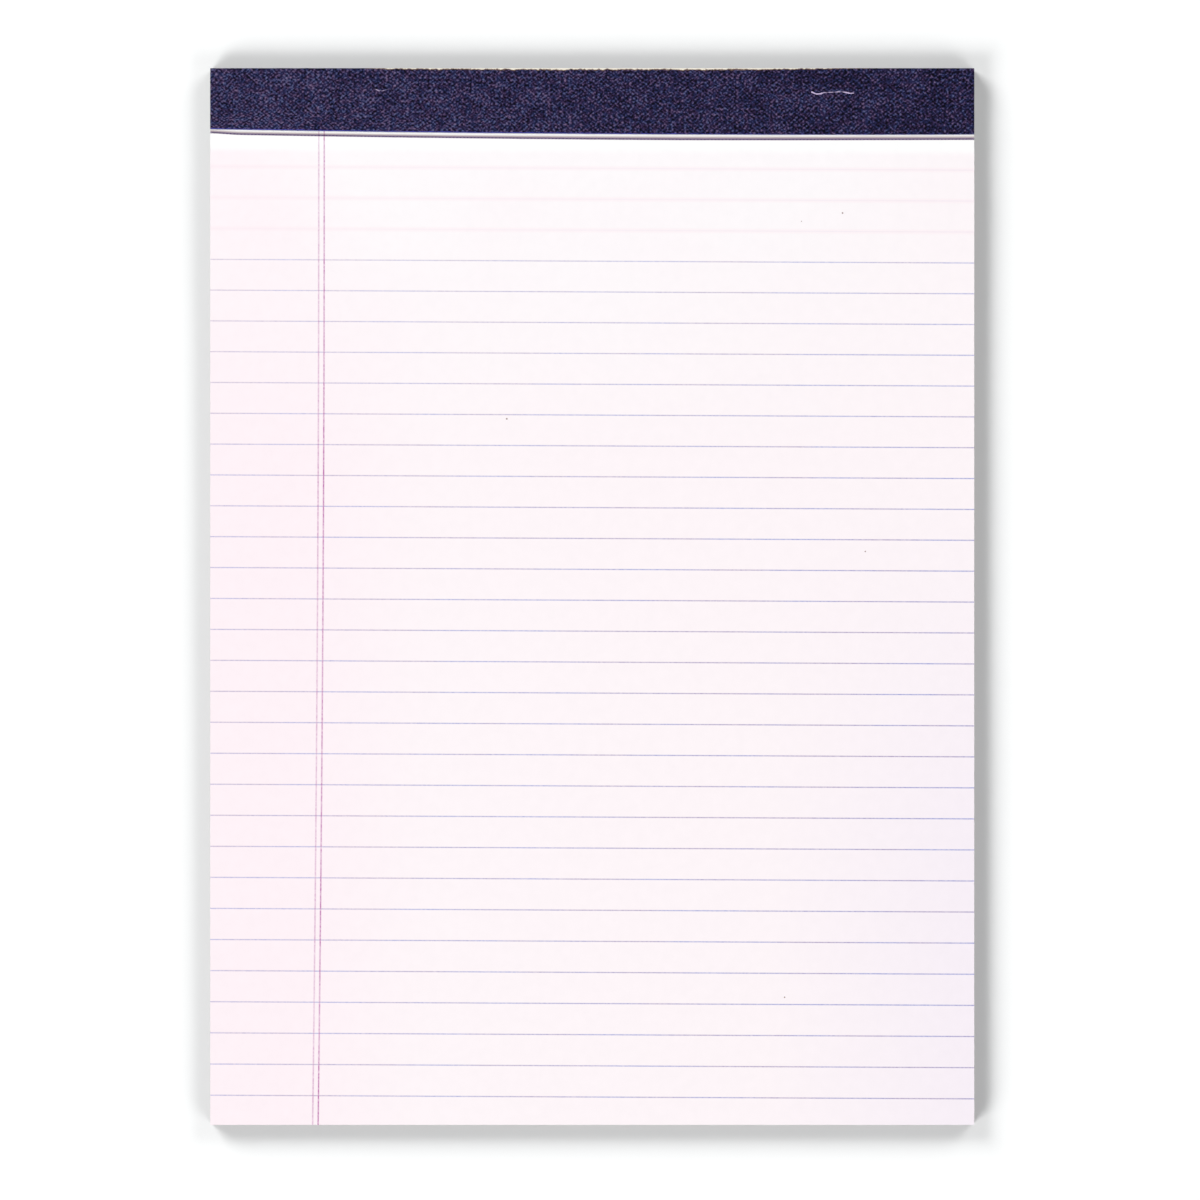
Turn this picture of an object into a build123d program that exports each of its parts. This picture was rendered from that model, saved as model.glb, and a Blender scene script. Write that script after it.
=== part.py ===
from build123d import *
import math
import os

# A legal pad: ruled sheets on a chipboard back, stapled twice and bound over the head with one folded tape.
# Millimetres. +X runs to the right of the pad, +Y towards its bound head and +Z up. The origin is the centre
# of the footprint, on the surface that the pad lies on.

# ---- Sheets and board ----------------------------------------------------------------------------
SHEET_WIDTH = 215.9  # 8-1/2 in
SHEET_LENGTH = 298.45  # 11-3/4 in, from the foot to the head
SHEET_COUNT = 50
SHEET_PITCH = 0.09  # one sheet with the air beside it
HEAD_PITCH = 0.084  # the same, where the staples clamp the sheets
SWELL_HEIGHT = 0.28  # how far the loose sheets rise just past the crease
SWELL_START = 4.0  # from the crease to the foot of that rise
SWELL_TOP = 14.0  # from the crease to its highest point
SWELL_END = 70.0  # from the crease to where the sheets lie flat again
BOARD_THICKNESS = 0.7

# ---- Binding tape --------------------------------------------------------------------------------
TAPE_THICKNESS = 0.2
TAPE_FRONT = 18.4  # width of the front flap on the middle line
TAPE_BACK = 17.0  # width of the back flap
FOLD_RADIUS = 0.4  # inside the tape, round the sheets at the top and the board at the bottom
TRIM_SKEW = 0.27  # degrees that the tape and the crease are out of square with the trimmed sheets

# ---- Tear-off crease, across the top of the sheets -----------------------------------------------
CREASE_SETBACK = 1.2  # from the tape's front edge to the bottom of the groove
CREASE_DEPTH = 0.4
CREASE_HEAD_SLOPE = 0.85  # run of the slope on the head side
CREASE_FOOT_SLOPE = 0.2  # run of the steep slope on the foot side

# ---- Staples -------------------------------------------------------------------------------------
CROWN_WIDTH = 12.7  # 1/2 in
WIRE_WIDTH = 0.7
WIRE_THICKNESS = 0.5
BEND_RADIUS = 0.35  # inside each bend of the wire
CLINCH_LENGTH = 5.2  # of each leg, bent inward behind the board
CROWN_PROUD = 0.35  # of the crown above the sheets
CLINCH_PROUD = 0.15  # of the bent legs below the board
WIRE_CLEARANCE = 0.03  # all round the wire
RIDGE_LAND = 0.12  # flat of the tape beside the wire, at the top of its ridge
RIDGE_SLOPE = 45.0  # degrees, of the tape down from the wire
STAPLES = {  # across the pad from its middle, and down from its head
    "staple_left": (-55.6, 6.6),
    "staple_right": (67.9, 7.5),
}

# ---- The board's lift at the head, which makes room for the tape under it ------------------------
LIFT_MARGIN = 1.0  # of level board past the edge of the back flap
LIFT_RUN = 12.0  # over which the board comes down to the surface

# ---- Worked out ----------------------------------------------------------------------------------
HEAD_Y = (SHEET_LENGTH - TAPE_THICKNESS) / 2
FOOT_Y = HEAD_Y - SHEET_LENGTH
LIFT = TAPE_THICKNESS + CLINCH_PROUD + WIRE_CLEARANCE
LIFT_END_Y = HEAD_Y - TAPE_BACK - LIFT_MARGIN
LIFT_START_Y = LIFT_END_Y - LIFT_RUN
HEAD_TOP_Z = LIFT + BOARD_THICKNESS + SHEET_COUNT * HEAD_PITCH
BODY_TOP_Z = BOARD_THICKNESS + SHEET_COUNT * SHEET_PITCH
TAPE_EDGE_Y = HEAD_Y - TAPE_FRONT
CREASE_Y = TAPE_EDGE_Y - CREASE_SETBACK
CLINCH_BOTTOM_Z = LIFT - CLINCH_PROUD
CROWN_TOP_Z = HEAD_TOP_Z + CROWN_PROUD
SKEW_DROP = SHEET_WIDTH / 2 * math.tan(math.radians(TRIM_SKEW))
OVERRUN = 5.0  # by which a cutting tool passes the edge of what it cuts


def across(profile):
    """A closed outline in Y and Z, drawn out over the width of the sheets."""
    return extrude(Plane.YZ * profile, SHEET_WIDTH / 2, both=True)


def head_edge(solid, z):
    """The edge of a solid across its head, at height z."""
    at_head = solid.edges().filter_by(Axis.X).filter_by_position(Axis.Y, HEAD_Y, HEAD_Y)
    return at_head.filter_by_position(Axis.Z, z, z)


def lifted(height):
    """Points of a surface that lies on the board's underside, raised by height, from the foot to the head."""
    return [
        (FOOT_Y, height),
        (LIFT_START_Y, height),
        (LIFT_END_Y, LIFT + height),
        (HEAD_Y, LIFT + height),
    ]


def staple(x, down, grow=0.0):
    """A clinched staple, or with grow the space that the wire and its clearance take."""
    height = CROWN_TOP_Z - CLINCH_BOTTOM_Z
    outer = Rectangle(CROWN_WIDTH + 2 * grow, height + 2 * grow)
    outer = fillet(outer.vertices(), BEND_RADIUS + WIRE_THICKNESS + grow)
    inner = Rectangle(CROWN_WIDTH - 2 * WIRE_THICKNESS - 2 * grow, height - 2 * WIRE_THICKNESS - 2 * grow)
    inner = fillet(inner.vertices(), BEND_RADIUS - grow)
    between = CROWN_WIDTH - 2 * CLINCH_LENGTH - 2 * grow
    opening = Pos(0, -height / 2) * Rectangle(between, 2 * WIRE_THICKNESS + 2 * grow)
    wire = extrude(Plane.XZ * (outer - inner - opening), WIRE_WIDTH / 2 + grow, both=True)
    return Pos(x, HEAD_Y - down, (CROWN_TOP_Z + CLINCH_BOTTOM_Z) / 2) * wire


def staple_spaces():
    """The space that both staples take."""
    return [staple(x, down, WIRE_CLEARANCE) for x, down in STAPLES.values()]


def ridge(x, down, proud, base_z, direction):
    """The tape's rise over a run of wire that stands proud, from base_z up (1) or down (-1)."""
    height = proud + WIRE_CLEARANCE
    spread = 2 * (WIRE_CLEARANCE + RIDGE_LAND + height * math.tan(math.radians(RIDGE_SLOPE)))
    plane = Plane(origin=(x, HEAD_Y - down, base_z), z_dir=(0, 0, direction))
    footprint = Rectangle(CROWN_WIDTH + spread, WIRE_WIDTH + spread)
    return extrude(plane * footprint, height, taper=RIDGE_SLOPE)


def make_backing_board():
    outline = make_face(Polyline(*lifted(0.0), *reversed(lifted(BOARD_THICKNESS)), close=True))
    board = across(outline)
    board = fillet(head_edge(board, LIFT), FOLD_RADIUS)
    return board - staple_spaces()


def swell():
    """The top of the sheets, from the level at the crease over the swell and down to the foot."""
    top = BODY_TOP_Z + SWELL_HEIGHT
    start = (CREASE_Y - SWELL_START, HEAD_TOP_Z)
    summit = (CREASE_Y - SWELL_TOP, top)
    end = (CREASE_Y - SWELL_END, BODY_TOP_Z)
    rise = Spline(start, summit, tangents=[(-1, 0), (-1, 0)])
    fall = Spline(summit, end, tangents=[(-1, 0), (-1, 0)])
    return [rise, fall, Line(end, (FOOT_Y, BODY_TOP_Z))]


def crease_groove():
    """The groove, drawn out along its skewed line and past both edges of the sheets."""
    head_side = CREASE_HEAD_SLOPE * 2
    foot_side = CREASE_FOOT_SLOPE * 2
    section = make_face(
        Polyline((0, 0), (head_side, CREASE_DEPTH * 2), (-foot_side, CREASE_DEPTH * 2), close=True)
    )
    groove = extrude(Plane.YZ * section, SHEET_WIDTH / 2 + OVERRUN, both=True)
    return Pos(0, CREASE_Y, HEAD_TOP_Z - CREASE_DEPTH) * Rot(0, 0, -TRIM_SKEW) * groove


def make_page_block():
    under = lifted(BOARD_THICKNESS)
    start = (CREASE_Y - SWELL_START, HEAD_TOP_Z)
    outline = [
        Polyline(*under, (HEAD_Y, HEAD_TOP_Z), start),
        *swell(),
        Line((FOOT_Y, BODY_TOP_Z), under[0]),
    ]
    block = across(make_face(outline))
    block = fillet(head_edge(block, HEAD_TOP_Z), FOLD_RADIUS)
    return block - crease_groove() - staple_spaces()


def flap(width, height, radius):
    """The section of a flat stack of this height, rounded at its head, that reaches back by width."""
    section = Rectangle(width, height, align=(Align.MAX, Align.CENTER))
    return fillet(section.vertices().group_by(Axis.X)[-1], radius)


def trim(width, z, skew):
    """What is cut off an overlong flap at height z, so that width of it is left on the middle line."""
    tool = Box(
        SHEET_WIDTH + 2 * OVERRUN,
        max(TAPE_FRONT, TAPE_BACK) + 2 * OVERRUN,
        4 * TAPE_THICKNESS,
        align=(Align.CENTER, Align.MAX, Align.CENTER),
    )
    return Pos(0, HEAD_Y - width, z) * Rot(0, 0, -skew) * tool


def make_binding_tape():
    height = HEAD_TOP_Z - LIFT
    overlong = max(TAPE_FRONT + SKEW_DROP, TAPE_BACK) + OVERRUN
    outer = Pos(TAPE_THICKNESS, 0) * flap(
        overlong + TAPE_THICKNESS, height + 2 * TAPE_THICKNESS, FOLD_RADIUS + TAPE_THICKNESS
    )
    inner = flap(overlong + OVERRUN, height, FOLD_RADIUS)
    tape = Pos(0, HEAD_Y, (HEAD_TOP_Z + LIFT) / 2) * across(outer - inner)
    tape -= trim(TAPE_FRONT, HEAD_TOP_Z + TAPE_THICKNESS / 2, TRIM_SKEW)
    tape -= trim(TAPE_BACK, LIFT - TAPE_THICKNESS / 2, 0)
    for x, down in STAPLES.values():
        tape += ridge(x, down, CROWN_PROUD, HEAD_TOP_Z + TAPE_THICKNESS, 1)
        tape += ridge(x, down, CLINCH_PROUD, LIFT - TAPE_THICKNESS, -1)
    return tape - staple_spaces()


def main():
    parts = {
        "backing_board": make_backing_board(),
        "page_block": make_page_block(),
        "binding_tape": make_binding_tape(),
    }
    for name, (x, down) in STAPLES.items():
        parts[name] = staple(x, down)

    os.makedirs("parts", exist_ok=True)
    for name, shape in parts.items():
        export_step(shape, f"parts/{name}.step")


main()
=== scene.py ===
"""A ruled legal pad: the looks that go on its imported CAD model.

The frame holds the sizes that matter: the board, the block of sheets, the folded tape and the two staples.
This script gives each visible piece its true surface: a perforated top sheet and the leaves under it, a
tape with the staples showing through it, ruled paper, embossed binding paper, chipboard and wire.
Sizes are in millimetres until a mesh is made, and Blender's units are metres.
"""

import logging
import math
from dataclasses import dataclass
from enum import Enum

import bpy
import numpy as np
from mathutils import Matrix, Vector


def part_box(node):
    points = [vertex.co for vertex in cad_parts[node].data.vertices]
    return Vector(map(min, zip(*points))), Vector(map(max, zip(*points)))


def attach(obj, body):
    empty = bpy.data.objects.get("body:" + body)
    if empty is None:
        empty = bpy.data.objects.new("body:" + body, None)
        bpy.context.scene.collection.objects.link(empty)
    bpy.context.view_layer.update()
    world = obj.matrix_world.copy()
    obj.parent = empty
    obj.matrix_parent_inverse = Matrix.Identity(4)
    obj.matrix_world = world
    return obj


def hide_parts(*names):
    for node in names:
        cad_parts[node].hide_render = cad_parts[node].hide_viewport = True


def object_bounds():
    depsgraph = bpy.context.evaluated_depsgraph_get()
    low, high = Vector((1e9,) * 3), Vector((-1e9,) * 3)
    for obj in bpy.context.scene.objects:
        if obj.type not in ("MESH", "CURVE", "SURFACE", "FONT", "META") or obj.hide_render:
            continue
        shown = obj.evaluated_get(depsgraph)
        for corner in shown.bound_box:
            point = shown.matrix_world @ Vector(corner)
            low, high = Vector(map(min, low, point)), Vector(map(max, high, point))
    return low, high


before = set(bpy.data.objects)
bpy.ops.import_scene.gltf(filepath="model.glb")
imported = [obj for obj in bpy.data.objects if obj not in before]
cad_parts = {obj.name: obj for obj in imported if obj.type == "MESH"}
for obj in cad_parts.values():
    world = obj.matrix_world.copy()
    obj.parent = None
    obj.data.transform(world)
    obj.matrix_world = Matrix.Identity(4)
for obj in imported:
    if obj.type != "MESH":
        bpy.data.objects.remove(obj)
cad_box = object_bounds()

MM = 0.001
BAKE_MAP = "OFBake"
MATH, MIX = "ShaderNodeMath", "ShaderNodeMix"
NOISE, RANGE = "ShaderNodeTexNoise", "ShaderNodeMapRange"
USUAL = (0.3, 0.7)  # most of a noise lies between these
Tree, Node, Socket = bpy.types.NodeTree, bpy.types.Node, bpy.types.NodeSocket
log = logging.getLogger("legal_pad")


class Slot(Enum):
    """The record's material slots for this script's own pieces; no piece is given one here."""

    RULED_PAPER = "ruled_paper"
    BINDING_PAPER = "binding_paper"


# ---- Small tools -----------------------------------------------------------------------------------


def linear(colour: str) -> tuple[float, float, float, float]:
    """Turns an sRGB hex colour into linear red, green, blue and alpha.

    Args:
        colour: six hex digits after a hash.

    Returns:
        The linear colour, with an alpha of 1.
    """
    parts = [int(colour[i : i + 2], 16) / 255 for i in (1, 3, 5)]
    return (*[p / 12.92 if p <= 0.04045 else ((p + 0.055) / 1.055) ** 2.4 for p in parts], 1.0)


def add_node(tree: Tree, kind: str, inputs: dict | tuple = (), **settings: object) -> Node:
    """Adds a node to a tree with its settings, values and links.

    Args:
        tree: the shader or geometry tree.
        kind: the node's type name.
        inputs: a value, a socket or a node for each input, in order or by name or number. Of a node, the
            first live output is taken.
        settings: the node's own properties.

    Returns:
        The node.
    """
    node = tree.nodes.new(kind)
    for name, value in settings.items():
        setattr(node, name, value)
    for key, value in inputs.items() if isinstance(inputs, dict) else enumerate(inputs):
        if isinstance(value, Node):
            value = next(socket for socket in value.outputs if socket.enabled)
        if isinstance(value, Socket):
            tree.links.new(value, node.inputs[key])
        else:
            node.inputs[key].default_value = value
    return node


def smooth(low: float, high: float, value: np.ndarray) -> np.ndarray:
    """A soft step of value, from 0 at low to 1 at high."""
    t = np.clip((value - low) / (high - low), 0.0, 1.0)
    return t * t * (3.0 - 2.0 * t)


def unevenness(x: np.ndarray, y: np.ndarray, size: float, seed: int, waves: int = 9) -> np.ndarray:
    """Gentle random relief, as paper has from damp and handling.

    Args:
        x: places across, in mm.
        y: places along, in mm.
        size: the usual width of a rise, in mm.
        seed: which relief.
        waves: how many waves are summed.

    Returns:
        Heights, mostly between -1 and 1.
    """
    rng = np.random.default_rng(seed)
    total = np.zeros(np.broadcast(x, y).shape)
    for _ in range(waves):
        turn, phase, stretch = rng.uniform(0, 2 * math.pi), rng.uniform(0, 2 * math.pi), rng.uniform(0.6, 1.6)
        wave = 2 * math.pi / (2 * size * stretch)
        total += np.sin(wave * (x * math.cos(turn) + y * math.sin(turn)) + phase)
    return total / math.sqrt(waves * 2)


def steps(*stretches: tuple[float, float, float]) -> np.ndarray:
    """Sorted places for grid lines.

    Args:
        stretches: each is a start, an end and the largest spacing between them.

    Returns:
        The places, with near doubles left out.
    """
    places = [np.linspace(a, b, max(2, math.ceil((b - a) / gap) + 1)) for a, b, gap in stretches]
    places = np.unique(np.round(np.concatenate(places), 4))
    keep = np.concatenate([[True], np.diff(places) > 0.02])
    return places[keep]


def grid_faces(rows: int, columns: int) -> np.ndarray:
    """The corners of each face of a grid whose rows run along +Y and columns along +X, facing +Z."""
    corner = (np.arange(rows - 1)[:, None] * columns + np.arange(columns - 1)[None, :]).ravel()
    return np.stack([corner, corner + 1, corner + columns + 1, corner + columns], axis=1)


def slab(outer: np.ndarray, inner: np.ndarray) -> tuple[np.ndarray, np.ndarray]:
    """Closes the space between two like grids of points into one solid skin.

    Args:
        outer: rows by columns by 3, the side that faces out.
        inner: the same, the side behind it.

    Returns:
        The points and the faces, the outer side first, then the inner side, then the rim.
    """
    rows, columns = outer.shape[:2]
    count = rows * columns
    front = grid_faces(rows, columns)
    back = front[:, ::-1] + count
    index = np.arange(count).reshape(rows, columns)
    rim = np.concatenate([index[0, :], index[1:, -1], index[-1, -2::-1], index[-2:0:-1, 0]])
    after = np.roll(rim, -1)
    wall = np.stack([rim, rim + count, after + count, after], axis=1)
    points = np.concatenate([outer.reshape(-1, 3), inner.reshape(-1, 3)])
    return points, np.concatenate([front, back, wall])


def make_object(name: str, points: np.ndarray, faces: np.ndarray) -> bpy.types.Object:
    """Makes a mesh object from points in millimetres.

    Args:
        name: the piece's name.
        points: count by 3, in mm.
        faces: count by 4, corner numbers.

    Returns:
        The object, at the origin.
    """
    mesh = bpy.data.meshes.new(name)
    mesh.from_pydata((points * MM).tolist(), [], faces.tolist())
    piece = bpy.data.objects.new(name, mesh)
    bpy.context.scene.collection.objects.link(piece)
    return piece


def set_values(mesh: bpy.types.Mesh, name: str, values: np.ndarray) -> None:
    """Stores one number for each point of a mesh under a name."""
    layer = mesh.attributes.new(name, "FLOAT", "POINT")
    layer.data.foreach_set("value", values.astype(np.float32).ravel())


def set_map(mesh: bpy.types.Mesh, name: str, places: np.ndarray) -> None:
    """Lays a UV map on a mesh from one pair of numbers for each corner of each face."""
    layer = mesh.uv_layers.new(name=name, do_init=False)
    layer.data.foreach_set("uv", places.astype(np.float32).ravel())


def grown(source: bpy.types.Object, tree: Tree, values: dict[str, object]) -> bpy.types.Object:
    """Runs a Geometry Nodes tree on an object and keeps the result as its plain mesh.

    Args:
        source: the object that the tree starts from.
        tree: the tree, with named inputs.
        values: the inputs to set, by name.

    Returns:
        The same object, with the made mesh and no modifier.
    """
    modifier = source.modifiers.new(tree.name, "NODES")
    modifier.node_group = tree
    for item in tree.interface.items_tree:
        if item.item_type == "SOCKET" and item.in_out == "INPUT" and item.name in values:
            modifier[item.identifier] = values[item.name]
    graph = bpy.context.evaluated_depsgraph_get()
    made = bpy.data.meshes.new_from_object(source.evaluated_get(graph))
    made.name = source.name
    start = source.data
    source.modifiers.remove(modifier)
    source.data = made
    bpy.data.meshes.remove(start)
    return source


def tree_with_inputs(name: str, inputs: dict[str, str]) -> tuple[Tree, Node]:
    """Starts a Geometry Nodes tree.

    Args:
        name: the tree's name.
        inputs: each input's name and the end of its socket type, such as Float.

    Returns:
        The tree and its input node.
    """
    tree = bpy.data.node_groups.new(name, "GeometryNodeTree")
    for label, kind in inputs.items():
        tree.interface.new_socket(label, in_out="INPUT", socket_type="NodeSocket" + kind)
    tree.interface.new_socket("Geometry", in_out="OUTPUT", socket_type="NodeSocketGeometry")
    return tree, tree.nodes.new("NodeGroupInput")


def seat(
    piece: bpy.types.Object, material: bpy.types.Material, node: str, crisp: float = 35.0
) -> bpy.types.Object:
    """Finishes a piece: its only material, its shading and its seat on the frame.

    Args:
        piece: the piece.
        material: its material.
        node: the CAD node that it replaces.
        crisp: the largest angle between faces, in degrees, that is shaded smooth.

    Returns:
        The same piece.
    """
    piece.data.materials.clear()
    piece.data.materials.append(material)
    piece.data.shade_smooth()
    piece.data.set_sharp_from_angle(angle=math.radians(crisp))
    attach(piece, "root")
    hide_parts(node)
    return piece


# ---- The pad's sizes -------------------------------------------------------------------------------


@dataclass
class PadShape:
    """The pad's sizes in millimetres: the first ten are read from the frame."""

    half_width: float
    foot_y: float
    head_y: float
    board: float  # how thick
    lift: float  # how far the board's underside rises at the head
    tape: float  # how thick
    crown_top: float  # top of the staples' wire
    swell_top: float  # highest place of the sheets
    crowns: list[tuple[float, float]]  # middle of each staple, across and along
    crown_half: float
    crown_proud: float = 0.35  # how far the wire stands above the sheets
    clinch_proud: float = 0.15  # and below the board
    wire_clearance: float = 0.03
    wire_half: float = 0.35
    sheet_count: int = 50
    sheet_pitch: float = 0.09
    tape_front: float = 18.4  # how far the tape reaches down the page
    tape_back: float = 17.0  # and down the board
    fold_radius: float = 0.4
    edge_slope: float = -0.0069  # the tape's front edge, as it was laid by hand
    edge_bow: float = 0.00005
    print_skew: float = 0.277  # degrees: the sheets are trimmed askew
    crease_setback: float = 1.3  # from the tape's edge to the bottom of the crease
    crease_at: tuple[float, ...] = (-108.0, -40.0, 25.0, 80.0)  # places across, for the next two
    crease_strays: tuple[float, ...] = (0.08, 0.0, -0.08, 0.02)
    crease_slopes: tuple[float, ...] = (0.92, 0.85, 1.02, 1.06)  # how far up its slope the painted shade runs
    crease_run_up: float = 0.3  # how far the crease runs up at its left end
    run_up_length: float = 9.0
    crease_depth: float = 0.4
    crease_slope: float = 0.85  # width of the crease's side towards the head
    crease_wall: float = 0.3  # and of its side towards the foot
    swell_start: float = 4.0  # below the crease, as are the next two
    swell_peak: float = 14.0
    swell_end: float = 70.0
    lift_margin: float = 1.0  # from the end of the lift to the tape's back edge
    lift_run: float = 12.0
    straight_foot: tuple[float, float] = (0.5, 6.0)  # from the foot: grid lines turn to the print's slant
    crease_band: tuple[float, float, float] = (-12.0, -5.0, 3.0)  # from the crease: they run beside it
    straight_head: float = 2.0  # from the head: they are square again

    @classmethod
    def from_frame(cls) -> "PadShape":
        """Reads what the CAD nodes' boxes give.

        Returns:
            The pad's sizes.
        """
        sheets_low, sheets_high = (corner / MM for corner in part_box("page_block"))
        board_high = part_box("backing_board")[1] / MM
        tape_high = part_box("binding_tape")[1] / MM
        crowns = []
        for node in ("staple_left", "staple_right"):
            low, high = (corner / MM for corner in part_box(node))
            crowns.append(((low.x + high.x) / 2, (low.y + high.y) / 2))
        return cls(
            half_width=sheets_high.x,
            foot_y=sheets_low.y,
            head_y=sheets_high.y,
            board=sheets_low.z,
            lift=board_high.z - sheets_low.z,
            tape=tape_high.y - sheets_high.y,
            crown_top=high.z,
            swell_top=sheets_high.z,
            crowns=crowns,
            crown_half=(high.x - low.x) / 2,
        )

    @property
    def head_top(self) -> float:
        """Height of the sheets' top under the tape."""
        return self.crown_top - self.crown_proud

    @property
    def body_top(self) -> float:
        """Height of the sheets' top at the foot."""
        return self.board + self.sheet_count * self.sheet_pitch

    @property
    def edge_y(self) -> float:
        """The tape's front edge on the middle line."""
        return self.head_y - self.tape_front

    @property
    def crease_y(self) -> float:
        """The bottom of the crease on the middle line."""
        return self.edge_y - self.crease_setback

    def edge_shift(self, x: np.ndarray) -> np.ndarray:
        """How far the tape's front edge strays from its place on the middle line."""
        return self.edge_slope * x + self.edge_bow * x * x

    def crease_shift(self, x: np.ndarray) -> np.ndarray:
        """How far the tear-off crease strays from its place on the middle line.

        Args:
            x: places across.

        Returns:
            The shifts: the tape's edge's, the crease's own, and its run up at the left end.
        """
        start = -self.half_width
        run_up = self.crease_run_up * (1 - smooth(start, start + self.run_up_length, x))
        return self.edge_shift(x) + np.interp(x, self.crease_at, self.crease_strays) + run_up

    def print_shift(self, x: np.ndarray) -> np.ndarray:
        """How far a rule strays from its place on the middle line."""
        return -math.tan(math.radians(self.print_skew)) * x

    def underside(self, y: np.ndarray) -> np.ndarray:
        """Height of the board's underside, which lifts at the head to clear the tape."""
        level_end = self.head_y - self.tape_back - self.lift_margin
        return np.interp(y, [level_end - self.lift_run, level_end], [0.0, self.lift])

    def below_crease(self, x: np.ndarray, y: np.ndarray) -> np.ndarray:
        """Distance from the bottom of the crease down the page."""
        return self.crease_y + self.crease_shift(x) - y

    def dent(self, below: np.ndarray) -> np.ndarray:
        """Depth of the crease's groove.

        Args:
            below: distances down the page from the bottom of the crease.

        Returns:
            The depths.
        """
        head_side = 1.0 + below / self.crease_slope
        foot_side = 1.0 - below / self.crease_wall
        return self.crease_depth * np.clip(np.minimum(head_side, foot_side), 0.0, 1.0)

    def swell(self, below: np.ndarray) -> np.ndarray:
        """Height of the top sheet apart from the groove: it swells past the crease, then lies flat.

        Args:
            below: distances down the page from the bottom of the crease.

        Returns:
            The heights.
        """
        rise = (self.swell_top - self.head_top) * smooth(self.swell_start, self.swell_peak, below)
        fall = (self.swell_top - self.body_top) * smooth(self.swell_peak, self.swell_end, below)
        return self.head_top + rise - fall

    def page_grid(self, across: np.ndarray, along: np.ndarray) -> tuple[np.ndarray, np.ndarray]:
        """Places of a grid whose lines follow the crease at the head and the rules down the page.

        Args:
            across: columns, in mm from the middle line.
            along: rows, in mm as they lie on the middle line.

        Returns:
            The x and the y of each point, rows by columns.
        """
        x, y = np.meshgrid(across, along)
        foot_start, foot_end = (self.foot_y + step for step in self.straight_foot)
        print_end, crease_start, crease_end = (self.crease_y + step for step in self.crease_band)
        head_start = self.head_y - self.straight_head
        by_crease = np.interp(y, [print_end, crease_start, crease_end, head_start], [0, 1, 1, 0])
        by_print = np.interp(y, [foot_start, foot_end, print_end, crease_start], [0, 1, 1, 0])
        return x, y + by_crease * self.crease_shift(x) + by_print * self.print_shift(x)


# ---- Finishes --------------------------------------------------------------------------------------


@dataclass(frozen=True)
class Finish:
    """A surface finish, built as one material."""

    name: str
    roughness: float
    ior: float = 1.5

    def material(self) -> bpy.types.Material:
        """The material, which is built the first time that it is asked for.

        Returns:
            The material, the same one each time.
        """
        found = bpy.data.materials.get(self.name)
        if found:
            return found
        made = bpy.data.materials.new(self.name)
        made.use_nodes = True
        tree = made.node_tree
        tree.nodes.clear()
        even = {"Roughness": self.roughness, "IOR": self.ior}
        shader = add_node(tree, "ShaderNodeBsdfPrincipled", even | self.surface(tree))
        add_node(tree, "ShaderNodeOutputMaterial", {"Surface": shader})
        return made

    def surface(self, tree: Tree) -> dict[str, object]:
        """Builds the nodes and returns the shader's inputs, by name, that aren't its even values."""
        raise NotImplementedError

    def in_mm(self, tree: Tree) -> Node:
        """Adds the place on a piece, in millimetres."""
        place = add_node(tree, "ShaderNodeTexCoord").outputs["Object"]
        return add_node(tree, "ShaderNodeMapping", {"Vector": place, "Scale": (1 / MM,) * 3})


@dataclass(frozen=True)
class SheetPlace:
    """Where a point lies on a sheet: in millimetres, and across and along the print."""

    in_mm: Node
    x: Socket
    y: Socket


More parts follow.
